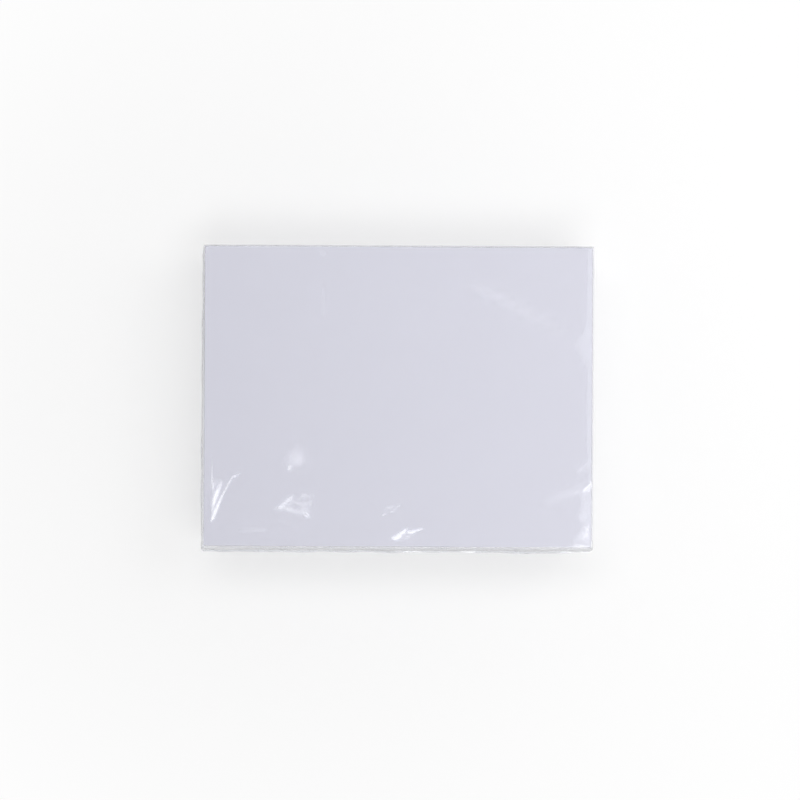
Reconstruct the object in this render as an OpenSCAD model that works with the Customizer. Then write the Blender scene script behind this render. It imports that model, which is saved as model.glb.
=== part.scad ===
/* [Sheets] */
// Long side of a label sheet
sheet_l = 279.4; // [150:0.1:330]
// Short side of a label sheet
sheet_w = 215.9; // [100:0.1:250]
// Thickness of one sheet: face paper, adhesive and backing
sheet_t = 0.2; // [0.15:0.01:0.3]
// Number of sheets in the stack
sheet_count = 250; // [60:1:300]
// How far a sheet's edge may lie from the stack's true side
sheet_drift = 0.35; // [0:0.05:0.4]

/* [Film] */
// Thickness of the clear film
film_t = 0.1; // [0.06:0.01:0.2]
// Room between the stack's true side and the film where it turns over an edge
film_gap = 0.7; // [0.6:0.05:1.5]
// Room between the top sheet and the film above it
top_gap = 0.4; // [0.2:0.05:1]
// How far the slack film stands out at the front side
slack_front = 5.5; // [0.5:0.5:12]
// How far the slack film stands out at the left side
slack_left = 4.5; // [0.5:0.5:12]
// How far the film stands out at the right side
slack_right = 1.2; // [0.5:0.1:12]
// How far the film stands out at the back, where it is only folded
slack_back = 0.8; // [0.5:0.1:12]

/* [Seam] */
// Width of the sealed seam that runs round the left, front and right sides
seam_w = 2; // [1:0.5:5]
// Width of the pinched fold at the back
fold_w = 0.4; // [0.2:0.1:1]
// Thickness of the seam, where two films are melted together
seam_t = 0.3; // [0.2:0.05:0.6]

/* [Vents] */
// Diameter of the vent holes that let the air out as the film shrinks
vent_d = 4; // [2:0.5:6]
// Distance between the two vent holes, along the back
vent_gap = 120; // [40:5:130]

/* [Gathers] */
// How deep the film is gathered beside each corner
gather_d = 1.1; // [0:0.1:2]
// How far from a corner the gathers reach
gather_reach = 42; // [15:1:60]

/* [Creases] */
// Height of the tallest crease on the top
crease_h = 0.9; // [0.3:0.1:1.5]
// Width of a crease at its foot
crease_w = 2.6; // [1.5:0.1:5]

/* [Hidden] */

stack_h = sheet_count * sheet_t;
film_top = film_t + stack_h + top_gap + film_t;
seam_z = film_top / 2;
edge_r = 0.5;               // the film's bend over the stack's edges
film_edge = film_gap + film_t;
drift_seed = 11;            // keeps the stack's small unevenness the same at each build
bundle = 25;                // sheets that were squared up together, so that they lie alike

// Film slack at the right, back, left and front sides, in the order that a loop runs round the stack
slack = [slack_right, slack_back, slack_left, slack_front];
fins = [seam_w, fold_w, seam_w, seam_w];

// The film's loops: points along a long side, a short side and round a corner
steps_long = 24;
steps_short = 18;
steps_corner = 4;

// Heights of the film's loops between its bottom edge and the seam, as shares of the film's height
side_shares = [0, 0.04, 0.12, 0.25, 0.38];

// Creases on the top: each is a list of [x, y, share of crease_h] along its ridge.
// x and y are shares of the sheet's half length and half width from its centre.
creases = [
    // the fork beside the front left corner
    [[-0.965, -0.815, 0.3], [-0.950, -0.700, 1.0], [-0.957, -0.550, 0.5], [-0.962, -0.420, 0.1]],
    [[-0.955, -0.800, 0.4], [-0.920, -0.640, 1.0], [-0.865, -0.540, 0.5], [-0.828, -0.505, 0.1]],
    // the crumpled patch right of it
    [[-0.626, -0.735, 0.1], [-0.590, -0.705, 0.6], [-0.555, -0.675, 0.2]],
    [[-0.626, -0.738, 0.1], [-0.560, -0.760, 0.6], [-0.462, -0.800, 0.5], [-0.450, -0.812, 0.1]],
    [[-0.575, -0.700, 0.1], [-0.510, -0.735, 0.5], [-0.462, -0.745, 0.1]],
    [[-0.505, -0.672, 0.1], [-0.465, -0.668, 0.4], [-0.430, -0.662, 0.1]],
    // the dimple above the patch
    [[-0.560, -0.485, 0.1], [-0.540, -0.435, 0.4], [-0.510, -0.400, 0.1]],
    // two small ones in the middle
    [[-0.075, -0.790, 0.1], [-0.040, -0.735, 0.4], [0.010, -0.722, 0.1]],
    [[-0.050, -0.765, 0.1], [0.000, -0.755, 0.3], [0.030, -0.745, 0.1]],
    // the bright bent crease at the front edge
    [[-0.022, -0.960, 0.4], [0.005, -0.935, 1.0], [0.035, -0.898, 0.6]],
    [[0.035, -0.898, 0.5], [0.090, -0.890, 0.7], [0.140, -0.868, 0.1]],
];
crease_tip = 0.15;          // half width of a crease along its ridge

drift_x = rands(-1, 1, sheet_count, drift_seed);
drift_y = rands(-1, 1, sheet_count, drift_seed + 1);
bundles = ceil(sheet_count / bundle);
bundle_x = rands(-1, 1, bundles, drift_seed + 2);
bundle_y = rands(-1, 1, bundles, drift_seed + 3);

// Where sheet i lies: half from its bundle, half from its own slip
function sheet_shift(i) = sheet_drift / 2 * [
    bundle_x[floor(i / bundle)] + drift_x[i],
    bundle_y[floor(i / bundle)] + drift_y[i]
];

module label_sheets() color("white")
    for (i = [0 : sheet_count - 1])
        translate([-sheet_l / 2 + sheet_shift(i)[0], -sheet_w / 2 + sheet_shift(i)[1], film_t + i * sheet_t])
            cube([sheet_l, sheet_w, sheet_t]);

// Share of a side's length at step k of n: the steps are closest beside the corners, where the gathers are
function spread(k, n) = (1 - cos(180 * k / n)) / 2;

// How far the gathers push the film out at a distance from the corner: in and out by turns
function gather(distance, k) = k % 2 == 0 ? 0 : exp(-3 * distance / gather_reach);

// One straight side of a loop: a run of [place along the side, gather], without its two end points
function side_run(length, steps) = [
    for (k = [0 : steps])
        let (along = spread(k, steps) * length)
        [along, gather(min(along, length - along), k)]
];

// A loop round the stack at height z. outs holds how far it lies beyond each side, and pleat how deep its gathers are.
function loop(z, outs, pleat) = [
    for (side = [0 : 3])
        let (
            half = side % 2 == 0 ? [sheet_l / 2, sheet_w / 2] : [sheet_w / 2, sheet_l / 2],
            steps = side % 2 == 0 ? steps_short : steps_long,
            run = side_run(2 * half[1], steps),
            out = outs[side],
            next = outs[(side + 1) % 4]
        )
        each concat(
            [for (p = run) turned([half[0] + out + pleat * p[1], p[0] - half[1]], side, z)],
            [for (k = [1 : steps_corner - 1])
                let (a = 90 * k / steps_corner)
                turned([half[0] + out * cos(a), half[1] + next * sin(a)], side, z)]
        )
];

// Turns a point of the right side to the given side, a quarter turn for each
function turned(p, side, z) =
    side == 0 ? [p[0], p[1], z] :
    side == 1 ? [-p[1], p[0], z] :
    side == 2 ? [-p[0], -p[1], z] : [p[1], -p[0], z];

// The slack film's outline from its edge to the seam: steep beside the edge, then nearly upright
function bulge(share) = pow(sin(180 * share), 0.45);
function outs_at(share, inset) = [for (s = slack) film_edge - inset + bulge(share) * s];
function pleat_at(share) = gather_d * pow(sin(180 * share), 1.5);

// The film's loops from the bottom up. The outer skin has inset 0 and the seam, and the inner one lies film_t inside it.
function film_loops(inset) =
    let (
        low = inset,
        high = film_top - inset,
        rise = high - low,
        edge = film_edge - inset,
        flat_out = [for (s = slack) edge - edge_r],
        bend_out = [for (s = slack) edge - edge_r * (1 - sin(45))],
        bend = edge_r * (1 - cos(45)),
        mids = outs_at(0.5, inset),
        pleat = pleat_at(0.5)
    )
    concat(
        [loop(low, flat_out, 0), loop(low + bend, bend_out, 0)],
        [for (s = side_shares) loop(low + edge_r + s * (rise - 2 * edge_r), outs_at(s, inset), pleat_at(s))],
        inset > 0 ? [loop(seam_z, mids, pleat)] : [
            loop(seam_z - seam_t / 2, mids, pleat),
            loop(seam_z - seam_t / 2, mids + fins, pleat),
            loop(seam_z + seam_t / 2, mids + fins, pleat),
            loop(seam_z + seam_t / 2, mids, pleat)
        ],
        [for (k = [len(side_shares) - 1 : -1 : 0])
            let (s = side_shares[k])
            loop(high - edge_r - s * (rise - 2 * edge_r), outs_at(s, inset), pleat_at(s))],
        [loop(high - bend, bend_out, 0), loop(high, flat_out, 0)]
    );

// A closed skin through loops that lie one above another
module skin(loops) {
    n = len(loops[0]);
    polyhedron(
        points = [for (l = loops) each l],
        faces = concat(
            [[for (i = [0 : n - 1]) i]],
            [for (r = [0 : len(loops) - 2], i = [0 : n - 1])
                let (j = (i + 1) % n)
                each [[r * n + i, (r + 1) * n + i, (r + 1) * n + j], [r * n + i, (r + 1) * n + j, r * n + j]]],
            [[for (i = [n - 1 : -1 : 0]) (len(loops) - 1) * n + i]]
        )
    );
}

// One stop of a crease: a low cone on the film's top
module crease_stop(p)
    translate([p[0] * sheet_l / 2, p[1] * sheet_w / 2, film_top - film_t])
        cylinder(h = p[2] * crease_h + film_t, r1 = crease_w / 2 * (0.4 + 0.6 * p[2]), r2 = crease_tip, $fn = 8);

// The creases as ridges. Taken away one film thickness lower, they leave the ridges hollow.
module ridges()
    for (c = creases, k = [0 : len(c) - 2])
        hull() {
            crease_stop(c[k]);
            crease_stop(c[k + 1]);
        }

// The vent holes go through the back of the film, halfway from the seam to the top
module vents()
    for (side = [-1, 1])
        translate([side * vent_gap / 2, sheet_w / 2, (seam_z + film_top) / 2])
            rotate([-90, 0, 0])
                cylinder(h = film_edge + slack_back + fold_w, d = vent_d, $fn = 16);

module clear_film() color([0.86, 0.89, 0.95, 0.35])
    difference() {
        union() {
            skin(film_loops(0));
            ridges();
        }
        skin(film_loops(film_t));
        translate([0, 0, -film_t]) ridges();
        vents();
    }

label_sheets();
clear_film();
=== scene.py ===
import math

import bpy
import numpy as np
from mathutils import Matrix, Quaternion, Vector


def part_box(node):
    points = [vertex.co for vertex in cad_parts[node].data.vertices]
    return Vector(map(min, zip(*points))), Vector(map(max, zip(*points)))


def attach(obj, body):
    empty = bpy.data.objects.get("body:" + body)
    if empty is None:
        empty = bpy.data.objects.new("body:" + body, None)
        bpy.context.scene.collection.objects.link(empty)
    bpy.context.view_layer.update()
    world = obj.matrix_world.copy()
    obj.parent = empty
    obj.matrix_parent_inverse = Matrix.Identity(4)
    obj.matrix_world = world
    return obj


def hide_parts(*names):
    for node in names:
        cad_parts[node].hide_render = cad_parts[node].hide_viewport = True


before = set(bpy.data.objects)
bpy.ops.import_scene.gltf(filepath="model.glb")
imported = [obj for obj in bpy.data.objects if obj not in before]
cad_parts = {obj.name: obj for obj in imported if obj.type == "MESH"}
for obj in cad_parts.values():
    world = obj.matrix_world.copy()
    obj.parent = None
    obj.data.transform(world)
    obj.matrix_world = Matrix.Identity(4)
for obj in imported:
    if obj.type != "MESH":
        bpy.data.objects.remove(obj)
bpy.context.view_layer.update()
print("frame loaded:", ", ".join(sorted(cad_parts)))

mm = 0.001
sheetsLow, sheetsHigh = (np.array(c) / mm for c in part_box("label_sheets"))
halfX, halfY = sheetsHigh[0], sheetsHigh[1]
stackTop = sheetsHigh[2]


# Small helpers for meshes and node trees

# A mesh object at the origin from points in millimetres and faces as lists of point numbers.
def makePiece(name, points, faces, material):
    mesh = bpy.data.meshes.new(name)
    mesh.from_pydata((points * mm).tolist(), [], faces)
    mesh.polygons.foreach_set("use_smooth", [True] * len(mesh.polygons))
    mesh.materials.append(material)
    mesh.update()
    piece = bpy.data.objects.new(name, mesh)
    bpy.context.scene.collection.objects.link(piece)
    return piece


# One number for each point of the mesh, which a material reads by name.
def addAttribute(piece, name, values):
    attribute = piece.data.attributes.new(name, "FLOAT", "POINT")
    attribute.data.foreach_set("value", values.astype(np.float32))


# An empty material and its node tree.
def newTree(name):
    material = bpy.data.materials.new(name)
    material.use_nodes = True
    material.node_tree.nodes.clear()
    return material, material.node_tree


# A node with its settings. inputs gives, by name or number, a plain value or the output that feeds it.
def put(tree, kind, inputs=None, **settings):
    node = tree.nodes.new(kind)
    for name, value in settings.items():
        setattr(node, name, value)
    for name, value in (inputs or {}).items():
        if isinstance(value, bpy.types.NodeSocket):
            tree.links.new(value, node.inputs[name])
        else:
            node.inputs[name].default_value = value
    return node


# The output of a Math node.
def maths(tree, operation, a, b=0.0, c=0.0):
    return put(tree, "ShaderNodeMath", {0: a, 1: b, 2: c}, operation=operation).outputs[0]


# value between low and high, carried smoothly to toLow and toHigh.
def ramp(tree, value, low, high, toLow=0.0, toHigh=1.0):
    node = put(tree, "ShaderNodeMapRange", {"Value": value, "From Min": low, "From Max": high,
                                            "To Min": toLow, "To Max": toHigh},
               interpolation_type="SMOOTHSTEP")
    return node.outputs["Result"]


# The colour output of a Mix node between two plain colours.
def mixColours(tree, factor, a, b):
    node = tree.nodes.new("ShaderNodeMix")
    node.data_type = "RGBA"
    tree.links.new(factor, node.inputs["Factor"])
    node.inputs[6].default_value = (*a, 1)
    node.inputs[7].default_value = (*b, 1)
    return node.outputs[2]


# Grain that the paper, the film and the floor share: noise on a stretched place, from -1 to 1.
def fineGrainGroup():
    group = bpy.data.node_groups.new("fineGrain", "ShaderNodeTree")
    for name, kind in (("Place", "NodeSocketVector"), ("Stretch", "NodeSocketVector"),
                       ("Scale", "NodeSocketFloat"), ("Detail", "NodeSocketFloat")):
        group.interface.new_socket(name, in_out="INPUT", socket_type=kind)
    group.interface.new_socket("Grain", in_out="OUTPUT", socket_type="NodeSocketFloat")
    start = put(group, "NodeGroupInput")
    place = put(group, "ShaderNodeVectorMath",
                {0: start.outputs["Place"], 1: start.outputs["Stretch"]}, operation="MULTIPLY")
    noise = put(group, "ShaderNodeTexNoise", {
        "Vector": place.outputs[0], "Scale": start.outputs["Scale"],
        "Detail": start.outputs["Detail"], "Roughness": 0.55})
    grain = maths(group, "MULTIPLY_ADD", noise.outputs["Fac"], 2.0, -1.0)
    put(group, "NodeGroupOutput", {"Grain": grain})
    return group


fineGrain = fineGrainGroup()


# The Grain output of the shared group, with its own values.
def grain(tree, place, scale, stretch=(1, 1, 1), detail=2.0):
    node = put(tree, "ShaderNodeGroup", node_tree=fineGrain)
    tree.links.new(place, node.inputs["Place"])
    node.inputs["Stretch"].default_value = stretch
    node.inputs["Scale"].default_value = scale
    node.inputs["Detail"].default_value = detail
    return node.outputs["Grain"]


# Label paper: the top sheet's smooth face, and the cut edges of the sheets down the sides

paper = {
    "face": (0.731, 0.729, 0.811),       # face paper, faintly blue
    "backing": (0.620, 0.610, 0.655),    # the backing below it, seen only at the cut edges
    "sheet": 0.2 * mm,                   # one sheet of the stack
    "bundle": 25,                        # sheets squared up together
    "backingShare": 0.42,                # of a sheet's thickness
    "formation": 0.012,                  # how cloudy the paper looks against the light
    "sheetTone": 0.09,                   # how much one sheet's edge differs from the next
    "bundleTone": 0.05,
    "streakTone": 0.07,                  # streaks along the cut edges
    "roughness": 0.62,
    "fibre": 0.02 * mm,                  # height of the fibres in the face
    "fibreScale": 1400.0,
    "cloudScales": (160.0, 22.0),        # small and large clouds of the formation
    "streakScale": 9.0,
    "streakStretch": (1, 1, 260),        # streaks are long along the sheets and thin across them
}


# Tone = 1 + formation + (at the sides) sheet, bundle and streak tones. The backing shows in each sheet's
# lower part.
def labelPaper():
    material, tree = newTree("labelPaper")
    place = put(tree, "ShaderNodeTexCoord").outputs["Object"]
    facing = put(tree, "ShaderNodeSeparateXYZ", {0: put(tree, "ShaderNodeNewGeometry").outputs["Normal"]})
    atSide = maths(tree, "SUBTRACT", 1.0, maths(tree, "ABSOLUTE", facing.outputs[2]))

    height = put(tree, "ShaderNodeSeparateXYZ", {0: place}).outputs[2]
    level = maths(tree, "DIVIDE", maths(tree, "SUBTRACT", height, sheetsLow[2] * mm + 1e-6), paper["sheet"])
    sheetNumber = maths(tree, "FLOOR", level)
    sheetTone = put(tree, "ShaderNodeTexWhiteNoise", {"W": sheetNumber}, noise_dimensions="1D")
    bundleNumber = maths(tree, "FLOOR", maths(tree, "DIVIDE", sheetNumber, paper["bundle"]))
    bundleTone = put(tree, "ShaderNodeTexWhiteNoise", {"W": maths(tree, "ADD", bundleNumber, 0.37)},
                     noise_dimensions="1D")
    streak = grain(tree, place, paper["streakScale"], stretch=paper["streakStretch"], detail=4.0)
    sideTone = maths(tree, "MULTIPLY_ADD", maths(tree, "SUBTRACT", sheetTone.outputs["Value"], 0.5),
                     paper["sheetTone"], maths(tree, "MULTIPLY", streak, paper["streakTone"]))
    sideTone = maths(tree, "MULTIPLY_ADD", maths(tree, "SUBTRACT", bundleTone.outputs["Value"], 0.5),
                     paper["bundleTone"], sideTone)

    smallClouds, largeClouds = paper["cloudScales"]
    cloud = maths(tree, "ADD", grain(tree, place, smallClouds, detail=3.0),
                  grain(tree, place, largeClouds, detail=1.0))
    tone = maths(tree, "MULTIPLY_ADD", cloud, paper["formation"] / 2, 1.0)
    tone = maths(tree, "MULTIPLY_ADD", sideTone, atSide, tone)

    within = maths(tree, "FRACT", level)
    isBacking = maths(tree, "MULTIPLY", maths(tree, "LESS_THAN", within, paper["backingShare"]), atSide)
    colour = mixColours(tree, isBacking, paper["face"], paper["backing"])
    toned = put(tree, "ShaderNodeVectorMath", {0: colour, "Scale": tone}, operation="SCALE").outputs[0]

    fibres = grain(tree, place, paper["fibreScale"], stretch=(1, 0.45, 1), detail=3.0)
    bump = put(tree, "ShaderNodeBump", {"Strength": 0.35, "Distance": paper["fibre"], "Height": fibres})
    surface = put(tree, "ShaderNodeBsdfPrincipled", {
        "Base Color": toned, "Roughness": paper["roughness"], "IOR": 1.45,
        "Specular IOR Level": 0.35, "Normal": bump.outputs[0]})
    put(tree, "ShaderNodeOutputMaterial", {"Surface": surface.outputs[0]})
    return material


# Clear film: mostly see-through, with a mirror gloss that grows at a slant, and milky where it is creased
# or melted. The same milky white is also painted on as highlights along creases, crests and edges

clear = {
    "tint": (0.994, 0.995, 0.997),
    "ior": 1.5,
    "gloss": 0.08,           # roughness of the bright gloss
    "sheen": 0.30,           # roughness of the soft gloss round it
    "sheenShare": 0.16,
    # the white of milky film, also painted on as highlights
    "milkAndGlint": (0.90, 0.91, 0.94),
    "hazeAndGlint": 0.006,           # how milky the plain film is
    "passed": 0.85,          # share of the light that milky film passes on to what lies below it
    "crinkle": 0.05 * mm,    # height of the finest crinkles, where the film is crumpled
    "ripple": 0.012 * mm,    # height of the faint ripples all over
    "pucker": 0.30 * mm,     # height of the puckers in the walls, at right angles to the seam
    "streak": 0.20,          # milky white painted along the crests of its puckers, as their highlights
    "crinkleScale": 420.0,
    "rippleScale": 55.0,
    "puckerScale": 105.0,
    "puckerStretch": 3.4,    # how many times longer than wide a pucker is
    "puckerLean": (0.16, 0.2, 0),
    "smudgeScale": 35.0,
    "smudge": 0.8,           # how uneven the haze is
}


# Mix of see-through and gloss by Fresnel, the same from both sides, then of that and milky white by the
# haze, which also carries painted highlights.
def clearFilm():
    material, tree = newTree("clearFilm")
    place = put(tree, "ShaderNodeTexCoord").outputs["Object"]
    # The attribute: milky film, with painted highlights on creases, edges and soft sheen marks
    hazeAndGlint = put(tree, "ShaderNodeAttribute", attribute_name="hazeAndGlint").outputs["Fac"]
    crumple = put(tree, "ShaderNodeAttribute", attribute_name="crumple").outputs["Fac"]
    crinkles = grain(tree, place, clear["crinkleScale"], stretch=(1, 0.6, 0.6), detail=3.0)
    crinkles = maths(tree, "MULTIPLY", crinkles, crumple)
    ripples = grain(tree, place, clear["rippleScale"], stretch=(0.6, 1, 0.6), detail=2.0)
    relief = maths(tree, "MULTIPLY_ADD", crinkles, clear["crinkle"] / mm,
                   maths(tree, "MULTIPLY", ripples, clear["ripple"] / mm))
    slack = put(tree, "ShaderNodeAttribute", attribute_name="slack").outputs["Fac"]
    leaning = put(tree, "ShaderNodeMapping", {
        "Vector": place, "Rotation": clear["puckerLean"], "Scale": (1, 1, clear["puckerStretch"])},
        vector_type="TEXTURE").outputs[0]
    puckerNoise = put(tree, "ShaderNodeTexNoise", {
        "Vector": leaning, "Scale": clear["puckerScale"], "Detail": 2.0,
        "Distortion": 0.25}).outputs["Fac"]
    pucker = maths(tree, "MULTIPLY_ADD", puckerNoise, 2.0, -1.0)
    relief = maths(tree, "MULTIPLY_ADD", maths(tree, "MULTIPLY", pucker, slack), clear["pucker"] / mm, relief)
    bump = put(tree, "ShaderNodeBump", {"Strength": 1.0, "Distance": mm, "Height": relief}).outputs[0]

    isBack = put(tree, "ShaderNodeNewGeometry").outputs["Backfacing"]
    ior = maths(tree, "MULTIPLY_ADD", isBack, 1 / clear["ior"] - clear["ior"], clear["ior"])
    mirrored = put(tree, "ShaderNodeFresnel", {"IOR": ior, "Normal": bump}).outputs[0]
    bright = put(tree, "ShaderNodeBsdfAnisotropic", {"Roughness": clear["gloss"], "Normal": bump})
    soft = put(tree, "ShaderNodeBsdfAnisotropic", {"Roughness": clear["sheen"], "Normal": bump})
    gloss = put(tree, "ShaderNodeMixShader", {
        0: clear["sheenShare"], 1: bright.outputs[0], 2: soft.outputs[0]})
    through = put(tree, "ShaderNodeBsdfTransparent", {"Color": (*clear["tint"], 1)})
    film = put(tree, "ShaderNodeMixShader", {0: mirrored, 1: through.outputs[0], 2: gloss.outputs[0]})

    smudge = put(tree, "ShaderNodeTexNoise", {
        "Vector": place, "Scale": clear["smudgeScale"], "Detail": 3.0}).outputs["Fac"]
    smudge = maths(tree, "MULTIPLY_ADD", smudge, clear["smudge"], 1 - clear["smudge"] / 2)
    milkAndGlintShare = maths(tree, "MULTIPLY_ADD", smudge, clear["hazeAndGlint"], hazeAndGlint)
    # Milky white painted along the crests of the puckers, as their highlights
    crest = maths(tree, "MULTIPLY", ramp(tree, pucker, 0.05, 0.45), slack)
    milkAndGlintShare = maths(tree, "MULTIPLY_ADD", crest, clear["streak"], milkAndGlintShare)
    isShadow = put(tree, "ShaderNodeLightPath").outputs["Is Shadow Ray"]
    stopped = maths(tree, "MULTIPLY_ADD", isShadow, -clear["passed"], 1.0)
    milkAndGlintShare = maths(tree, "MULTIPLY", milkAndGlintShare, stopped)
    milkAndGlint = put(tree, "ShaderNodeBsdfDiffuse", {"Color": (*clear["milkAndGlint"], 1)})
    surface = put(tree, "ShaderNodeMixShader", {0: milkAndGlintShare, 1: film.outputs[0], 2: milkAndGlint.outputs[0]})
    put(tree, "ShaderNodeOutputMaterial", {"Surface": surface.outputs[0]})
    return material


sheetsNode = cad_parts["label_sheets"]
paperMaterial = labelPaper()
for slotNumber in range(len(sheetsNode.data.materials)):
    sheetsNode.data.materials[slotNumber] = paperMaterial
filmMaterial = clearFilm()
print("materials made")


# The film: a height field over the top sheet, walls carried round the stack as profiles, and a flat underside

film = {
    "thickness": 0.08,        # wall of the film
    "top": 0.55,              # from the top sheet to the film's face
    "lowest": 0.40,           # how far below its level the top may sink, so that it stays off the sheets
    "inset": 0.15,            # how far inside the sheets' sides the film starts to turn down
    "wallGap": 0.35,          # least room between the sheets' sides and the film's face
    "bend": 1.3,              # radius of the film's bend over the sheets' edge
    "fall": 0.10,             # how far the top sinks towards its edges
    "fallWidth": 3.0,
    "rightFall": 0.26,        # and how far it sinks further, in scallops, along the right edge
    "rightSagGlint": 0.085,       # milky white painted there, as the sag's highlight
    "ridgeRound": 0.12,       # how round the ridges and feet of the creases are
    "corner": 2.4,            # size of the grid's corner zone, where the outline turns
    "cornerPower": 12.0,      # how square the outline's corners are
    "outs": {"right": 1.8, "back": 1.5, "left": 5.0, "front": 6.0},   # beyond the sheets, at the seam
    "fins": {"right": 2.0, "back": 0.4, "left": 2.0, "front": 2.0},   # width of the seam or the back's fold
    "finThickness": 0.3,
    "finWave": 0.7,           # how far the seam wanders up and down
    "fine": 0.72,             # grid steps across the creases
    "wide": 5.0,              # grid steps where the film is flat
    "reach": 6.0,             # how far beyond the creases the steps stay small
    "ventRadius": 2.0,
    "ventX": 60.0,
    "ventRings": (1.0, 1.6, 2.3),    # radii of the rings of points round a vent, as shares of its radius
    "topFans": {"folds": (9, 13), "depth": (0.05, 0.10), "reach": 11, "start": 3},
    "wallFans": {"folds": (7, 9), "swing": (0.5, 1.2), "depth": 1.05, "reach": 22, "start": 4,
                 "crestReach": 26},
    "slackFolds": (0.16, 0.14),      # depth of the folds along the walls: at least, and more by the slack
    "slackLean": 0.45,               # how much they lean
    "sideStep": 400,                 # sets the waves of one wall apart from those of the next
    "cornerCrumple": 0.7,            # how crumpled the walls are at the corners
    "cornerReach": 16,
    "milkAndGlint": {                        # how milky the walls are, and painted highlights on them
        "wall": 0.03,
        "slack": 0.08,               # more where the film stands out
        "crest": 0.24,               # more along the crests of the folds: a painted highlight
        "fold": 0.06,
        "seam": 0.14,                # more at the seam than at the back's fold
        "bend": 0.18,                # over the sheets' edge: a painted highlight line
        "rightBend": 0.12,           # more there at the right,
        "leftBend": 0.06,            # at the left,
        "frontBend": 0.26,           # and at the left towards the front
    },
    "seed": 7,
}
filmTop = stackTop + film["top"]
seamZ = filmTop / 2
sides = ("right", "back", "left", "front")

# The camera above the stack, with lengths in millimetres and the roll in degrees. The marks on the film are
# given in its pixels.
view = {
    "height": 697,             # above the top sheet
    "shift": (1.3, -2.2),
    "focalPixels": 965,
    "framePixels": 800,
    "roll": 0.29,
    "markLevel": 0.7,          # the level that the marks are placed at, above the top sheet
}

# Where the grid is fine: lows and highs along x and y, with the step
zonesX = [(-halfX, -113, 1.0), (-90, -59, 1.0), (-13, 20, 1.0),
          (129, halfX, 1.4), (-64, -56, 2.4), (56, 64, 2.4)]
zonesY = [(-halfY, -92, 1.0), (-90, -68, 1.0), (-68, -42, 1.2), (halfY - 5, halfY, 1.4)]


# Places from -edge to edge: each step is the film's fine step times the zone's own factor, and grows
# smoothly to the wide step beyond the film's reach.
def gridPlaces(edge, zones):
    dense = np.linspace(-edge, edge, 6000)
    wide = film["wide"]
    step = np.full(dense.shape, wide)
    for zoneLow, zoneHigh, factor in zones:
        fine = film["fine"] * factor
        away = np.clip(np.maximum(zoneLow - dense, dense - zoneHigh) / film["reach"], 0, 1)
        step = np.minimum(step, fine + (wide - fine) * away * away * (3 - 2 * away))
    count = np.concatenate([[0], np.cumsum(np.diff(dense) / step[1:])])
    return np.interp(np.linspace(0, count[-1], int(round(count[-1])) + 1), count, dense)
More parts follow.
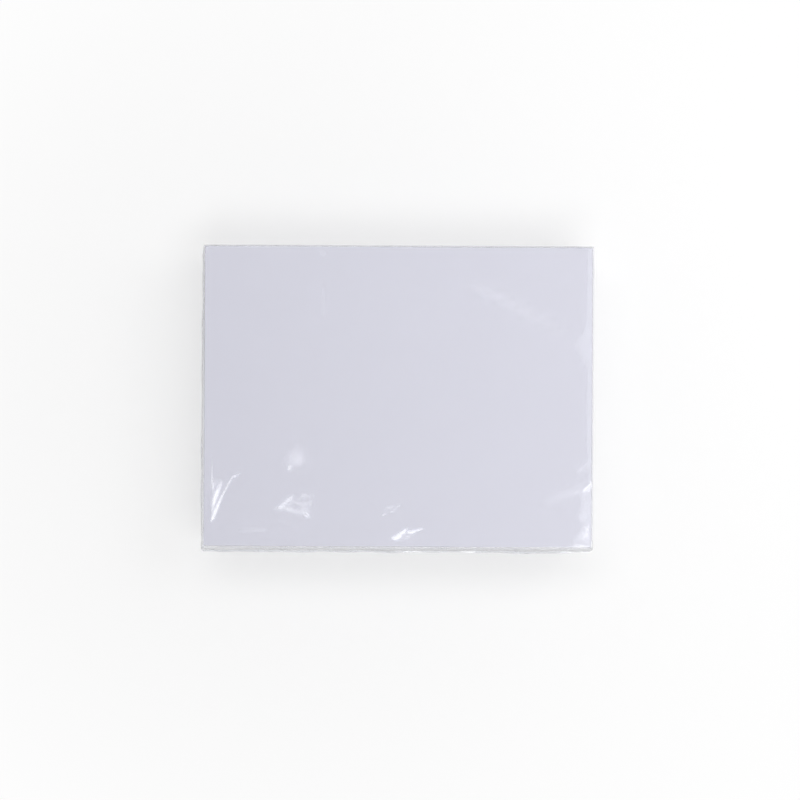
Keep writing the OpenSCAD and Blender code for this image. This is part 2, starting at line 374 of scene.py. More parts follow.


# The marks on the top. Where nothing else is said, their ends and points are pixels in the camera's frame,
# with y downwards. All widths and heights are millimetres.

# Creases: slope of the right flank in degrees, how many times wider the left flank is, how much milky white
# is painted on the right flank as its highlight, and points (x, y, width of the right flank) along the
# ridge. Right is seen along the way that the ridge runs.
creases = {
    "forkRight": (19, 0.65, 0.32, [(210.8, 521.0, 0.8), (211.8, 516.0, 2.6), (214.2, 509.5, 2.9),
        (216.8, 504.0, 2.2), (221.0, 495.6, 1.6), (226.4, 485.6, 1.25), (230.8, 478.4, 1.0),
        (233.0, 475.2, 0.4)]),
    "forkLeft": (20, 0.9, 0.32, [(211.6, 514.0, 0.5), (211.9, 507.0, 2.1), (212.9, 498.0, 3.4),
        (216.0, 490.5, 2.7), (219.4, 485.4, 1.3), (221.6, 481.6, 0.4)]),
    "forkBetween": (19, 0.8, 0.2, [(213.6, 496.0, 0.4), (216.0, 490.0, 1.2), (218.0, 485.4, 1.0),
        (219.4, 482.0, 0.3)]),
    "forkFar": (20, 0.9, 0.2, [(213.8, 497.0, 1.2), (212.2, 488.0, 1.6), (211.6, 478.0, 0.9),
        (211.4, 466.0, 0.6), (212.2, 457.0, 0.3)]),
    "forkSpot": (17, 1.4, 0.34, [(232.0, 476.6, 0.6), (233.8, 475.6, 1.7), (235.4, 475.0, 0.5)]),
    "forkEnd": (7, 1.4, 0.2, [(236.0, 474.4, 0.3), (238.0, 473.6, 1.1), (240.0, 473.2, 0.3)]),
    "crumpleTop": (9, 1.2, 0.06, [(276.0, 508.4, 0.4), (280.0, 505.6, 1.6), (285.0, 501.6, 2.2),
        (289.4, 498.2, 2.3), (292.2, 495.6, 0.3)]),
    "crumpleSpur": (9, 1.0, 0.04, [(283.0, 506.0, 0.3), (286.4, 505.4, 1.4), (290.6, 503.0, 1.4),
        (293.4, 499.8, 0.3)]),
    "crumpleLow": (8, 0.9, 0.03, [(311.0, 516.6, 0.5), (306.4, 516.8, 2.3), (301.6, 513.0, 1.6),
        (295.0, 511.4, 1.9), (288.0, 508.2, 1.4), (282.0, 507.6, 1.9), (278.0, 508.6, 0.3)]),
    "crumpleMiddle": (9, 0.9, 0.03, [(313.0, 502.2, 0.3), (310.0, 504.8, 1.5), (305.4, 505.6, 1.0),
        (300.0, 503.6, 1.5), (295.6, 502.0, 0.8), (292.4, 500.6, 0.3)]),
    "crumpleEnd": (7, 1.2, 0.0, [(308.2, 517.4, 0.5), (306.2, 513.6, 2.2), (307.4, 509.4, 1.3),
        (305.8, 506.0, 0.3)]),
    "crumplePatch": (8, 1.2, 0.03, [(300.0, 498.0, 0.3), (302.4, 496.2, 1.7), (305.6, 494.6, 0.9),
        (308.6, 495.6, 0.3)]),
    "crumpleChip": (7, 1.2, 0.0, [(308.6, 498.4, 0.3), (311.4, 496.0, 1.4), (314.6, 493.6, 0.3)]),
    "crumpleFleck": (8, 1.2, 0.02, [(297.4, 499.0, 0.3), (300.0, 500.4, 0.9), (303.4, 500.6, 0.3)]),
    "dimpleStroke": (20, 1.2, 0.26, [(289.0, 470.6, 0.3), (288.7, 467.4, 1.5), (289.2, 464.4, 0.3)]),
    "middleOne": (10, 1.4, 0.12, [(384.8, 508.8, 0.3), (387.4, 507.4, 1.2), (390.0, 507.0, 1.4),
        (393.2, 506.8, 0.4)]),
    "middleTwo": (8, 1.4, 0.13, [(395.6, 507.0, 0.3), (398.4, 505.4, 1.0), (401.6, 503.8, 0.3)]),
    "middleThree": (9, 1.4, 0.2, [(381.4, 515.2, 0.5), (383.8, 514.0, 1.4), (386.2, 513.0, 0.4)]),
    "middleFour": (8, 1.4, 0.13, [(388.2, 512.8, 0.4), (391.6, 511.2, 1.1), (396.0, 509.8, 0.3)]),
    "frontBlob": (12, 1.0, 0.44, [(393.2, 537.6, 1.0), (395.2, 535.8, 3.3), (397.8, 535.0, 2.9),
        (400.0, 532.6, 1.9), (402.2, 531.0, 2.6), (404.6, 530.2, 1.5), (406.0, 529.8, 0.3)]),
    "frontTail": (11, 1.2, 0.34, [(406.8, 532.4, 0.5), (408.6, 531.2, 2.1), (411.6, 530.6, 2.2),
        (414.6, 530.4, 1.6), (418.6, 529.4, 1.2), (424.0, 528.0, 0.3)]),
    "frontSpike": (14, 1.0, 0.3, [(404.6, 531.6, 0.4), (405.6, 529.6, 1.1), (406.2, 527.4, 0.3)]),
    "frontSpur": (10, 1.2, 0.16, [(404.6, 538.0, 0.3), (408.0, 536.6, 1.2), (411.6, 535.8, 0.3)]),
}

# Soft swells, too low to crease: ends, half width across and height
swells = {
    "backRightBand": [((472, 287), (530, 314), 3.4, 0.44), ((530, 314), (560, 330), 3.2, 0.36)],
    "backLeftLine": [((324, 285), (323.6, 317), 1.4, 0.04), ((322.4, 250), (322.6, 256), 1.5, 0.05)],
    "smudge": [((290, 462), (299, 459), 3.4, 0.12)],
    "rightWedge": [((591, 482), (546, 503), 3.2, 0.26)],
}

# Broad swells: ends in millimetres, half width across and height
broadSwells = [((-20, 30), (40, -10), 16.0, 0.14), ((-90, 60), (-30, 20), 18.0, 0.12),
    ((30, -60), (90, -30), 15.0, 0.12), ((-120, 10), (-100, -30), 12.0, 0.1)]

# Painted sheen: milky marks in place of the film's soft highlights: ends, half width across, and how milky
paintedSheen = {
    "backRightBand": [((471, 286), (503, 300), 3.6, 0.07), ((500, 298), (532, 316), 3.6, 0.06),
        ((528, 313), (562, 331), 3.2, 0.045)],
    "smudge": [((288, 461), (302, 459.6), 4.4, 0.17), ((291, 456), (300, 453), 3.2, 0.1),
        ((296, 450), (300, 446), 2.6, 0.07), ((289, 466), (291, 471), 1.8, 0.1),
        ((299, 464), (303, 455), 2.6, 0.07)],
    "forkFar": [((213, 489), (211.5, 480), 2.4, 0.1), ((214, 484), (222, 480), 2.4, 0.1)],
    "frontBlob": [((395, 541), (407, 537), 3.2, 0.06)],
    "rightWedge": [((592, 482), (546, 503), 3.4, 0.075), ((578, 475), (586, 463), 2.2, 0.085)],
    "frontLeftLine": [((240, 530.6), (266, 530), 1.7, 0.08)],
    "backLeftLine": [((324, 286), (323.6, 317), 1.2, 0.05), ((322.2, 249), (322.8, 256), 1.2, 0.08)],
    "crumple": [((275.5, 508.4), (285, 507.4), 1.5, 0.2), ((280.4, 506.6), (285.6, 502.0), 1.5, 0.16),
        ((284.0, 503.0), (293.2, 495.8), 1.4, 0.2), ((285.0, 502.8), (292.4, 504.4), 1.0, 0.12),
        ((282.6, 507.4), (292.0, 510.6), 1.5, 0.22), ((289.6, 509.8), (299.6, 513.4), 1.3, 0.15),
        ((297.0, 512.6), (305.0, 508.8), 1.8, 0.11), ((290.8, 500.2), (298.0, 503.4), 1.1, 0.1),
        ((296.0, 502.8), (304.4, 506.0), 1.2, 0.12), ((304.4, 506.4), (308.2, 500.6), 1.8, 0.1),
        ((310.8, 500.4), (311.4, 506.6), 1.0, 0.12), ((303.0, 511.0), (308.0, 516.8), 1.7, 0.22),
        ((305.4, 514.0), (308.6, 516.4), 1.3, 0.14), ((303.6, 508.6), (310.0, 512.0), 2.2, 0.07),
        ((301.6, 497.0), (303.4, 494.6), 1.1, 0.12), ((302.6, 495.4), (309.4, 497.2), 1.2, 0.12),
        ((298.4, 499.6), (302.0, 498.2), 1.3, 0.1), ((311.8, 494.0), (313.4, 498.0), 1.4, 0.06),
        ((284, 508), (304, 506), 4.4, 0.02), ((287.4, 500.8), (291.0, 498.4), 1.3, 0.16),
        ((279.6, 507.4), (283.0, 506.4), 1.3, 0.12)],
    "middle": [((386, 510), (400, 506), 3.0, 0.04)],
    "frontTail": [((398, 537), (420, 531), 2.2, 0.07)],
    "fork": [((213.5, 506), (220, 487), 2.2, 0.11)],
    "frontRight": [((584, 500), (586, 508), 3.0, 0.08), ((580, 512), (588, 522), 3.4, 0.09),
        ((577, 538), (589, 530), 3.2, 0.09)],
    "belowCrumple": [((276, 520), (300, 524), 4.0, 0.025)],
}


# The place on the film that the camera sees at a pixel, to a tenth of a millimetre: the camera's shift +
# (pixel from the frame's middle / focal pixels, turned by the roll) * the camera's height over the marks.
def onFilm(px, py):
    middle = view["framePixels"] / 2
    roll, overMarks = math.radians(view["roll"]), view["height"] - view["markLevel"]
    across, up = (px - middle) / view["focalPixels"], -(py - middle) / view["focalPixels"]
    x = view["shift"][0] + (across * math.cos(roll) - up * math.sin(roll)) * overMarks
    y = view["shift"][1] + (across * math.sin(roll) + up * math.cos(roll)) * overMarks
    return round(x, 1), round(y, 1)


# The marks of all groups, their ends turned from pixels into places on the film.
def placed(groups):
    return [(onFilm(*a), onFilm(*b), width, strength)
            for group in groups.values() for a, b, width, strength in group]


# Each place's share t of the way from a to b, held between 0 and 1, and its distance to that point.
def along(px, py, a, b):
    ax, ay, bx, by = a[0], a[1], b[0], b[1]
    length2 = (bx - ax) ** 2 + (by - ay) ** 2
    t = np.clip(((px - ax) * (bx - ax) + (py - ay) * (by - ay)) / length2, 0, 1)
    return t, np.hypot(px - ax - t * (bx - ax), py - ay - t * (by - ay))


# The highest over all creases of tan(slope) w f(d / w): a straight flank of width w on the right of the
# ridge, another one on its left, and f(x) = softly (1 - x) held above 0. Also the milky white painted as
# the highlight, a bell over the middle of the right flank, and how near the closest crease is, both from 0
# to 1.
def creaseHeight(px, py):
    soft = film["ridgeRound"]
    height, glintMilk, nearest = np.zeros_like(px), np.zeros_like(px), np.zeros_like(px)
    for slope, spread, milkAndGlint, pixels in creases.values():
        ridge = [(*onFilm(x, y), width) for x, y, width in pixels]
        for a, b in zip(ridge[:-1], ridge[1:]):
            t, distance = along(px, py, a, b)
            width = a[2] + t * (b[2] - a[2])
            onLeft = (b[0] - a[0]) * (py - a[1]) - (b[1] - a[1]) * (px - a[0]) > 0
            reach = np.where(onLeft, width * spread, width)
            rest = 1 - np.hypot(distance, soft) / reach
            flank = (rest + np.hypot(rest, soft)) / 2
            height = np.maximum(height, math.tan(math.radians(slope)) * width * (flank - 0.003))
            # The painted highlight: a bell of milky white over the middle of the right flank
            over = (np.where(onLeft, -distance, distance) - 0.45 * width) / (0.42 * width + 0.25)
            glintMilk = np.maximum(glintMilk, milkAndGlint * np.clip(width, 0, 1) * np.exp(-over ** 4))
            strength = np.clip(width / 1.6, 0, 1)
            nearest = np.maximum(nearest, strength * np.exp(-(distance / (1.5 * width)) ** 2))
    return height, glintMilk, nearest


# How wide the film sags beside the right edge: places along y and widths
edgeSag = {
    "y": (-108, -104, -98, -92, -86, -80, -76, -71, -66, -63, -59, -54, -50, -45, -38, -30, -22,
          -15, -8, 2, 12, 20, 24, 28, 34, 41, 46, 52, 62, 74, 86, 98, 108),
    "width": (12, 13, 8.5, 6, 9.5, 7, 6, 9, 5, 1.6, 1.4, 2.4, 4.6, 3.0, 2.6, 4.4, 2.8,
              4.2, 3.0, 4.6, 3.2, 3.6, 5.0, 7.6, 10.5, 13.0, 6.5, 4.4, 3.8, 4.4, 3.4, 4.2, 3.0),
}


# 0 on the flat top, rising evenly to 1 just inside the right edge, over the width of the sag there.
def sagShare(px, py):
    width = np.interp(py, edgeSag["y"], edgeSag["width"])
    return np.clip(1.15 - (halfX - px) / width, 0, 1)


# The sum over marks (ends, ..., half width w, strength s) of s * exp(-(d / w)^2), faded towards each mark's
# ends.
def softMarks(px, py, marks):
    total = np.zeros_like(px)
    for a, b, w, strength in marks:
        t, distance = along(px, py, a, b)
        total += strength * np.exp(-(distance / w) ** 2) * (0.35 + 0.65 * np.sin(math.pi * t))
    return total


# A wave from -1 to 1 with straight flanks and tight crests: asin(0.97 sin a) * 2 / pi.
def sharpWave(angle):
    return np.arcsin(0.97 * np.sin(angle)) * 2 / math.pi


# The sum of creases, swells, faint fans of folds from the corners and falls towards the edges, from the
# film's level and held above -lowest. Also the milky white painted as highlights on the crease flanks and
# along the right sag, and how near the closest crease is.
def topHeight(px, py):
    ridges, glintMilk, near = creaseHeight(px, py)
    height = ridges + softMarks(px, py, placed(swells) + broadSwells)
    rng = np.random.default_rng(film["seed"])
    fans = film["topFans"]
    for cornerX in (-halfX, halfX):
        for cornerY in (-halfY, halfY):
            dx, dy = np.abs(px - cornerX), np.abs(py - cornerY)
            rho, turn = np.hypot(dx, dy), np.arctan2(dy, dx)
            folds, phase, depth = rng.uniform(*fans["folds"]), rng.uniform(0, 6), rng.uniform(*fans["depth"])
            wave = sharpWave(folds * turn + phase)
            height += depth * wave * np.exp(-rho / fans["reach"]) * (1 - np.exp(-rho / fans["start"]))
    rim = np.minimum(halfX - np.abs(px), halfY - np.abs(py))
    height -= film["fall"] * np.exp(-rim / film["fallWidth"])
    sag = sagShare(px, py)
    height -= film["rightFall"] * sag ** 1.4
    # Milky white painted along the right edge's sag, as its highlight
    glintMilk = np.maximum(glintMilk, film["rightSagGlint"] * np.clip(sag * 4, 0, 1) * (0.7 + 0.3 * sag))
    return np.maximum(height, -film["lowest"]), glintMilk, near


# How far a wall's upper half lies out, and up from the seam. Stages 0 to 1 are the tight bend of radius r
# over the sheets' edge: out = r sin a, drop = r (1 - cos a). Stages 1 to 2 are a round flank of radius R
# down to the seam, whose tilt a grows from the bend's last tilt t to upright, and adds R (sin a - sin t) to
# out and R (cos t - cos a) to drop.
def wallProfile(side, stages):
    r = film["bend"]
    wide = film["inset"] + film["outs"][side]
    high = filmTop - seamZ - film["finThickness"] / 2
    tilts = np.radians(np.linspace(20, 89, 400))
    reached = r * np.sin(tilts) + (high - r * (1 - np.cos(tilts))) * np.tan(math.pi / 4 - tilts / 2)
    tilt = np.interp(wide, reached[::-1], tilts[::-1])
    flank = (high - r * (1 - math.cos(tilt))) / math.cos(tilt)
    angle = tilt + (math.pi / 2 - tilt) * np.clip(stages - 1, 0, 1)
    bend = tilt * np.clip(stages, 0, 1)
    out = r * np.sin(bend) + flank * (np.sin(angle) - math.sin(tilt))
    drop = r * (1 - np.cos(bend)) + flank * (math.cos(tilt) - np.cos(angle))
    return out, high - drop


# out and up at the given stages: arrays of rows by the four sides.
def profileRows(stages):
    pairs = [wallProfile(side, stages) for side in sides]
    return np.stack([out for out, up in pairs], 1), np.stack([up for out, up in pairs], 1)


# Stages of the walls' rows: from the top's edge down to the seam, and on from the seam to the underside
upperStages = np.array([0.25, 0.5, 0.75, 1.0, 1.05, 1.12, 1.2, 1.29,
                        1.38, 1.47, 1.56, 1.65, 1.74, 1.83, 1.92, 2.0])
lowerStages = np.array([2.0, 1.89, 1.77, 1.64, 1.5, 1.35, 1.2, 1.08, 1.0, 0.5, 0.0])


# Numbers of the top grid's border points, anticlockwise from above, starting at the front left corner.
def borderLoop(columns, rows):
    front = np.arange(columns)
    right = np.arange(1, rows) * columns + columns - 1
    back = (rows - 1) * columns + np.arange(columns - 2, -1, -1)
    left = np.arange(rows - 2, 0, -1) * columns
    return np.concatenate([front, right, back, left])


# Turns the outermost zone of a rectangle into rounded corners. Returns the corner centres c and the outward
# directions u / (|ux|^p + |uy|^p)^(1/p), where u is the place in the zone as a share of its size.
def squareToRound(px, py, reachX, reachY):
    centreX = np.clip(px, -(reachX - film["corner"]), reachX - film["corner"])
    centreY = np.clip(py, -(reachY - film["corner"]), reachY - film["corner"])
    ux, uy = (px - centreX) / film["corner"], (py - centreY) / film["corner"]
    power = film["cornerPower"]
    size = (np.abs(ux) ** power + np.abs(uy) ** power) ** (1 / power)
    most = np.maximum(np.abs(ux), np.abs(uy))
    scale = np.where(size > 0, most / np.maximum(size, 1e-9), 1.0)
    return centreX, centreY, ux * scale, uy * scale


# How far the folds push a wall in or out: fans that open from the seam's corners, depth * e^(-rho / reach) *
# wave(folds * turn + phase), and slack folds that lean along the wall. Also the crests of the fans, from 0
# to 1: how far the wave is above 0.55, fading with e^(-rho / crestReach).
def wallFolds(place, cornerGap, up, side):
    fans = film["wallFans"]
    rng = np.random.default_rng(film["seed"] + 10)
    push, crest = np.zeros(up.shape), np.zeros(up.shape)
    rise = np.abs(up)
    for cornerNumber in range(4):
        nearCorner = (cornerGap[1] == cornerNumber)[None, :]
        gap = cornerGap[0][None, :]
        rho, turn = np.hypot(gap, rise * 0.9), np.arctan2(rise * 0.9 + 0.4, gap + 0.4)
        count, phase, swing = rng.uniform(*fans["folds"]), rng.uniform(0, 6), rng.uniform(*fans["swing"])
        wave = sharpWave(count * turn + swing * np.sin(3.1 * turn + phase) + phase + np.sign(up) * 0.8)
        fade = np.exp(-rho / fans["reach"])
        push += nearCorner * fans["depth"] * wave * fade * (1 - np.exp(-rho / fans["start"]))
        crest += nearCorner * np.clip((wave - 0.55) / 0.35, 0, 1) * np.exp(-rho / fans["crestReach"])
    slack = side["slack"][None, :]
    lean = place[None, :] + film["slackLean"] * up
    soft = np.sin(lean / 7.3 + 1.7 * np.sin(lean / 31.0)) * 0.5
    soft = soft + sharpWave(lean / 12.7 + 0.9 * np.sin(lean / 23.0)) * 0.5
    calm = np.clip(cornerGap[0] / 20, 0, 1)[None, :]
    least, more = film["slackFolds"]
    push += soft * calm * (least + more * slack)
    height = np.clip(rise / (filmTop - seamZ), 0, 1)
    return push * (1 - height ** 6) * side["loose"][None, :], crest


# The film as one mesh. The top is a height field, z = level + lift(x, y). A row of the walls is the border
# carried outwards by out and upwards by up: corner centre + direction * (corner + out), seam + up.
def buildFilm():
    xs = gridPlaces(halfX - film["inset"], zonesX)
    ys = gridPlaces(halfY - film["inset"], zonesY)
    gridX, gridY = np.meshgrid(xs, ys)
    reachX, reachY = xs[-1], ys[-1]
    centreX, centreY, turnX, turnY = squareToRound(gridX, gridY, reachX, reachY)
    px, py = centreX + film["corner"] * turnX, centreY + film["corner"] * turnY
    lift, glintMilk, near = topHeight(px, py)
    top = np.stack([px, py, filmTop + lift], -1).reshape(-1, 3)
    # Milky white of the top: painted highlights on the crease flanks, the right sag and the soft sheen marks
    hazeAndGlint = np.clip(glintMilk + softMarks(px, py, placed(paintedSheen)), 0, 0.9).ravel()
    crumple = near.ravel()

    # The walls: each border point's own profile is a blend of its two sides, by its outward direction
    border = borderLoop(len(xs), len(ys))
    cx, cy = centreX.ravel()[border], centreY.ravel()[border]
    tx, ty = turnX.ravel()[border], turnY.ravel()[border]
    flat = np.stack([np.clip(tx, 0, 1), np.clip(ty, 0, 1), np.clip(-tx, 0, 1), np.clip(-ty, 0, 1)]) ** 4
    blend = flat / flat.sum(0)
    cornerX, cornerY = halfX - np.abs(cx + tx * film["corner"]), halfY - np.abs(cy + ty * film["corner"])
    onLong = blend[1] + blend[3] > 0.5
    gap = np.where(onLong, cornerX, cornerY)
    cornerNumber = (cx > 0) * 1 + (cy > 0) * 2
    place = np.where(onLong, cx * np.where(cy > 0, -1, 1), cy * np.where(cx > 0, 1, -1))
    place = place + film["sideStep"] * np.argmax(blend, 0)
    slack = blend.T @ np.array([film["outs"][s] for s in sides]) / film["outs"]["front"]
    vents = np.abs(np.abs(cx) - film["ventX"])
    ventCalm = np.where(blend[1] > 0.5, np.clip(vents / 14 - 0.6, 0, 1), 1.0)
    side = {"slack": slack, "loose": ventCalm}

    # One half of the walls: the sides' profiles blended at each border point, with its folds added to out
    def wall(stages, half):
        out, up = profileRows(stages)
        out, up = out @ blend, half * (up @ blend + film["finThickness"] / 2)
        push, crest = wallFolds(place, (gap, cornerNumber), up, side)
        out = np.maximum(out + push, np.minimum(out, film["inset"] + film["wallGap"]))
        return out, up, crest

    upperOut, upperUp, upperCrest = wall(upperStages, 1)
    lowerOut, lowerUp, lowerCrest = wall(lowerStages, -1)
    lowerOut[-1] = 0
    fin = blend.T @ np.array([film["fins"][s] for s in sides])
    fin = fin * (1 + 0.10 * np.sin(place / 5.1) + 0.08 * np.sin(place / 13.7 + 2))      # its edge is uneven
    wander = 0.6 * np.sin(place / 17.0 + 1.3) + 0.4 * np.sin(place / 41.0)
    wave = film["finWave"] * wander * (blend[1] < 0.5)      # the back's fold runs straight
    half = film["finThickness"] / 2
    rootOut, rootLow = upperOut[-1], lowerOut[0]
    finOut = np.stack([rootOut + fin * 0.5, rootOut + fin, rootOut + fin, rootLow + fin * 0.5])
    finUp = np.stack([wave * 0.5 + half, wave + half, wave - half, wave * 0.5 - half])
    edgeLift = lift.ravel()[border][None, :] * np.exp(-upperStages * 1.6)[:, None]
    out = np.concatenate([upperOut, finOut, lowerOut])
    up = np.concatenate([upperUp + edgeLift, finUp, lowerUp])
    walls = np.stack([cx + tx * (film["corner"] + out), cy + ty * (film["corner"] + out), seamZ + up], -1)

    rows, columns = out.shape
    finRows = slice(len(upperStages) - 1, len(upperStages) + 5)
    crest = np.concatenate([upperCrest, np.zeros_like(finOut), lowerCrest])
    milkAndGlint = film["milkAndGlint"]
    # Milky walls: haze, more where slack and at the seam; painted highlights on fold crests and edge bend
    wallHazeAndGlint = milkAndGlint["wall"] + milkAndGlint["slack"] * slack[None, :] ** 2 + milkAndGlint["crest"] * crest
    wallHazeAndGlint[finRows] = milkAndGlint["seam"] * (fin > 1)[None, :] + milkAndGlint["fold"]
    # Painted highlight line over the sheets' edge, stronger at the right and at the left towards the front
    bendRows = slice(0, 5)
    leftBend = milkAndGlint["leftBend"] + milkAndGlint["frontBend"] * np.clip((50 - cy) / 110, 0, 1)
    wallHazeAndGlint[bendRows] = milkAndGlint["bend"] + milkAndGlint["rightBend"] * blend[0] + blend[2] * leftBend
    height = np.clip(np.abs(up) / seamZ, 0, 1)
    loose = 0.35 + 0.65 * (1 - height) ** 1.5
    wallSlack = loose * (0.6 + 0.4 * slack[None, :]) * np.clip(3 - 3 * height, 0, 1)
    wallCrumple = np.exp(-gap / film["cornerReach"])[None, :] * np.ones((rows, 1)) * film["cornerCrumple"]
    wallCrumple[finRows] = 1.0

    walls, hole = cutVents(walls, cx, blend[1] > 0.9)
    first = len(top)
    loops = np.concatenate([border[None, :], first + np.arange(rows * columns).reshape(rows, columns)])
    upper, lower = loops[:-1], loops[1:]
    quads = np.stack([upper, lower, np.roll(lower, -1, 1), np.roll(upper, -1, 1)], -1)
    quads = quads[~hole].reshape(-1, 4)
    count = len(xs)
    cells = (np.arange(len(ys) - 1)[:, None] * count + np.arange(count - 1)[None, :]).ravel()
    topQuads = np.stack([cells, cells + 1, cells + count + 1, cells + count], -1)
    points = np.concatenate([top, walls.reshape(-1, 3)])
    underside = loops[-1][::-1]
    hazeAndGlint = np.concatenate([hazeAndGlint, wallHazeAndGlint.ravel()])
    crumple = np.concatenate([crumple, wallCrumple.ravel()])
    puckered = np.concatenate([np.zeros(first), wallSlack.ravel()])

    # The points inside the vents belong to no face, so they are left out
    used = np.zeros(len(points), bool)
    used[np.concatenate([topQuads.ravel(), quads.ravel(), underside])] = True
    renumber = np.cumsum(used) - 1
    faces = renumber[topQuads].tolist() + renumber[quads].tolist() + [renumber[underside].tolist()]
    piece = makePiece("film_wrap", points[used], faces, filmMaterial)
    addAttribute(piece, "hazeAndGlint", hazeAndGlint[used])
    addAttribute(piece, "crumple", crumple[used])
    addAttribute(piece, "slack", puckered[used])
    print("triangles:", 4 * (len(topQuads) + len(quads)) + 2 * len(border))
    print("film:", len(xs), "by", len(ys), "on top,", columns, "by", rows, "round the sides")
    return piece


# Rounds the grid into a vent hole: each square ring of points round a vent's middle goes to a circle with
# its own share of the vent's radius, the last one only in part. The cells inside the first ring are left
# out.
def cutVents(walls, cx, isBack):
    rows, columns = walls.shape[:2]
    hole = np.zeros((rows, columns), bool)
    ventZ = (seamZ + filmTop) / 2
    rowNumber = int(np.argmin(np.abs(walls[:len(upperStages), np.argmax(isBack), 2] - ventZ)))
    for ventX in (-film["ventX"], film["ventX"]):
        columnNumber = int(np.argmin(np.where(isBack, np.abs(cx - ventX), 1e9)))
        for k, share in zip((2, 3, 4), film["ventRings"]):
            dr, dc = np.meshgrid(np.arange(-k, k + 1), np.arange(-k, k + 1), indexing="ij")
            ring = np.maximum(np.abs(dr), np.abs(dc)) == k
            dr, dc = dr[ring], dc[ring]
            spot = walls[rowNumber + dr, columnNumber + dc]
            reach = np.hypot(dr, dc)
            radius = film["ventRadius"] * share
            wanted = np.stack([ventX - dc / reach * radius, spot[:, 1], ventZ - dr / reach * radius], -1)
            walls[rowNumber + dr, columnNumber + dc] = wanted if k < 4 else 0.6 * wanted + 0.4 * spot
        hole[rowNumber - 1:rowNumber + 3, columnNumber - 2:columnNumber + 2] = True
    return walls, hole


wrap = buildFilm()
wrap.data.set_sharp_from_angle(angle=math.radians(70))
shell = wrap.modifiers.new("wall", "SOLIDIFY")
shell.thickness = film["thickness"] * mm
shell.offset = -1
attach(wrap, "root")
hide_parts("clear_film")
print("film made")


# Studio: a pale floor, soft lamps, and the camera

studio = {
    "sky": (1.0, 0.22),        # level of the light from all round: at the horizon, and straight up
    "skyRise": (0.2, 0.75),    # sine of the heights between which it falls
    "floor": 0.90,
    "floorGrain": 0.006,
    "floorRadius": 6.0,
    "floorLevel": -0.3 * mm,
    "floorGlow": (0.48, 1.0),  # how white the camera sees the floor: near the object, and far away
    "floorReach": (0.16, 0.55),
    # compass turn from +X, angle from straight up, distance, width, height and brightness
    "lamps": {
        "key": (-60, 31, 1.5, 1.5, 0.5, 4.28),
        "rim": (106, 33, 1.5, 1.3, 0.5, 3.0),
        "side": (24, 50, 0.95, 0.6, 0.35, 3.1),
    },
}


# A round floor just below the film: radius * (cos a, sin a). Camera, mirrors and glass see it whiter with
# the distance from its middle, and it keeps the shadow.
def makeFloor():
    reach = studio["floorRadius"]
    count = 48
    angle = np.linspace(0, 2 * math.pi, count, endpoint=False)
    ring = np.stack([reach * np.cos(angle), reach * np.sin(angle), np.full(count, studio["floorLevel"])], -1)
    mesh = bpy.data.meshes.new("floor")
    mesh.from_pydata(ring.tolist(), [], [list(range(count))])
    floor = bpy.data.objects.new("floor", mesh)
    bpy.context.scene.collection.objects.link(floor)
    material, tree = newTree("paleFloor")
    place = put(tree, "ShaderNodeTexCoord").outputs["Object"]
    away = put(tree, "ShaderNodeVectorMath", {0: place}, operation="LENGTH").outputs["Value"]
    near, far = studio["floorReach"]
    glowNear, glowFar = studio["floorGlow"]
    path = put(tree, "ShaderNodeLightPath")
    seen = maths(tree, "MAXIMUM", path.outputs["Is Camera Ray"],
                 maths(tree, "MAXIMUM", path.outputs["Is Glossy Ray"], path.outputs["Is Transmission Ray"]))
    glow = maths(tree, "MULTIPLY", ramp(tree, away, near, far, glowNear, glowFar), seen)
    tone = maths(tree, "MULTIPLY_ADD", grain(tree, place, 60.0), studio["floorGrain"], studio["floor"])
    matt = put(tree, "ShaderNodeBsdfDiffuse", {"Color": tone, "Roughness": 0.3})
    white = put(tree, "ShaderNodeEmission", {"Color": (1, 1, 1, 1), "Strength": 1.0})
    surface = put(tree, "ShaderNodeMixShader", {0: glow, 1: matt.outputs[0], 2: white.outputs[0]})
    put(tree, "ShaderNodeOutputMaterial", {"Surface": surface.outputs[0]})
    mesh.materials.append(material)
    return floor


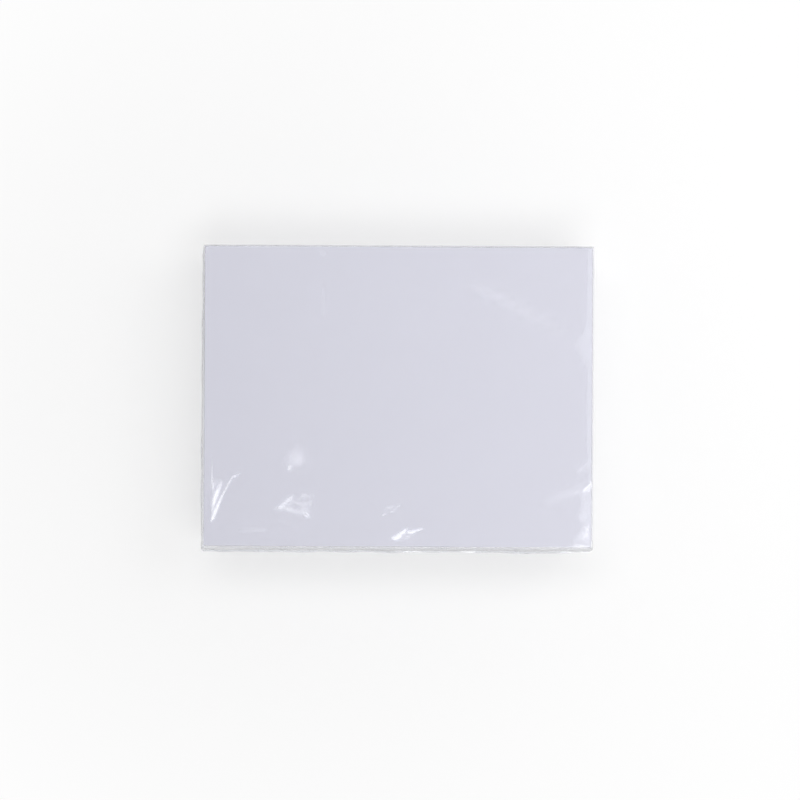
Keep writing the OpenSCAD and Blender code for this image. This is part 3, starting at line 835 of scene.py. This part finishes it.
# Light from all round, whose level goes smoothly from one at the horizon to another straight up.
def makeWorld():
    world = bpy.data.worlds.new("studio")
    world.use_nodes = True
    tree = world.node_tree
    tree.nodes.clear()
    across = put(tree, "ShaderNodeSeparateXYZ", {0: put(tree, "ShaderNodeTexCoord").outputs["Generated"]})
    level = ramp(tree, across.outputs[2], *studio["skyRise"], *studio["sky"])
    sky = put(tree, "ShaderNodeBackground", {"Color": (1, 1, 1, 1), "Strength": level})
    put(tree, "ShaderNodeOutputWorld", {"Surface": sky.outputs[0]})
    bpy.context.scene.world = world


# A rectangular softbox that faces the stack. Its power is brightness * pi * area, so that brightness is how
# bright it looks.
def makeLamp(name, turn, tilt, distance, width, height, brightness):
    target = Vector((0, 0, stackTop * mm))
    turn, tilt = math.radians(turn), math.radians(tilt)
    away = Vector((math.cos(turn) * math.sin(tilt), math.sin(turn) * math.sin(tilt), math.cos(tilt)))
    light = bpy.data.lights.new(name, "AREA")
    light.shape = "RECTANGLE"
    light.size, light.size_y = width, height
    light.energy = brightness * math.pi * width * height
    lamp = bpy.data.objects.new(name, light)
    bpy.context.scene.collection.objects.link(lamp)
    lamp.location = target + away * distance
    lamp.rotation_mode = "QUATERNION"
    lamp.rotation_quaternion = (-away).to_track_quat("-Z", "Y")
    lamp.visible_camera = False


# A camera that looks straight down, with focal length = focal pixels / frame pixels * sensor width.
def makeCamera():
    camera = bpy.data.cameras.new("camera")
    camera.sensor_width = 36
    camera.lens = view["focalPixels"] / view["framePixels"] * camera.sensor_width
    eye = bpy.data.objects.new("camera", camera)
    bpy.context.scene.collection.objects.link(eye)
    shiftX, shiftY = view["shift"]
    eye.location = (shiftX * mm, shiftY * mm, stackTop * mm + view["height"] * mm)
    eye.rotation_mode = "QUATERNION"
    eye.rotation_quaternion = Quaternion((0, 0, 1), math.radians(view["roll"]))
    bpy.context.scene.camera = eye


makeFloor()
makeWorld()
for lampName, values in studio["lamps"].items():
    makeLamp(lampName, *values)
makeCamera()
bpy.context.scene.view_settings.view_transform = "Standard"
bpy.context.scene.cycles.transparent_max_bounces = 32      # a look through the seam passes many walls of film
print("studio made")
